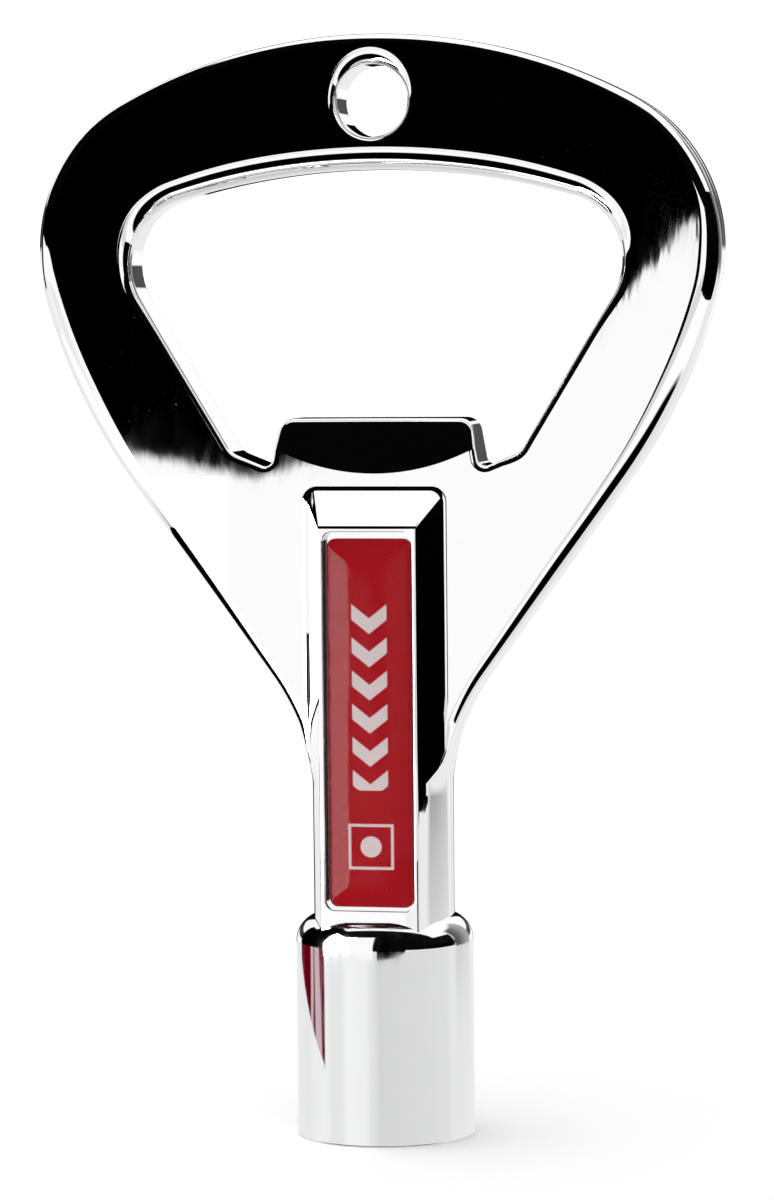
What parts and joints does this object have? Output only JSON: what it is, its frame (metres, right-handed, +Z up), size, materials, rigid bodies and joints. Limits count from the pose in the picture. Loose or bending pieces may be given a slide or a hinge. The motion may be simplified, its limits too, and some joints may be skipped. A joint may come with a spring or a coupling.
{
  "type": "square socket key with bottle opener head",
  "caption": "Chrome-plated hand key: square socket in a round barrel, bevelled shank with a domed label, and a looped head with a bottle opener mouth and a key ring hole.",
  "frame": {"origin": "centre of the barrel's open end, which is the face the key stands on", "axes": "+Z up along the shank to the head, -Y out of the label side, +X to the right when facing the label"},
  "size_m": [0.0496, 0.0126, 0.0784],
  "materials": {
    "chrome_casting": "mirror-polished chrome plating on a zinc die casting",
    "chrome_barrel": "bright chrome plating on turned steel",
    "label_adhesive": "grey pressure-sensitive adhesive",
    "label_film": null,
    "label_dome": "clear cast resin dome"
  },
  "bodies": {
    "root": {"key_body": "chrome_casting", "socket_barrel": "chrome_barrel", "label_adhesive": "label_adhesive", "label_film": "label_film", "label_dome": "label_dome"}
  },
  "joints": []
}
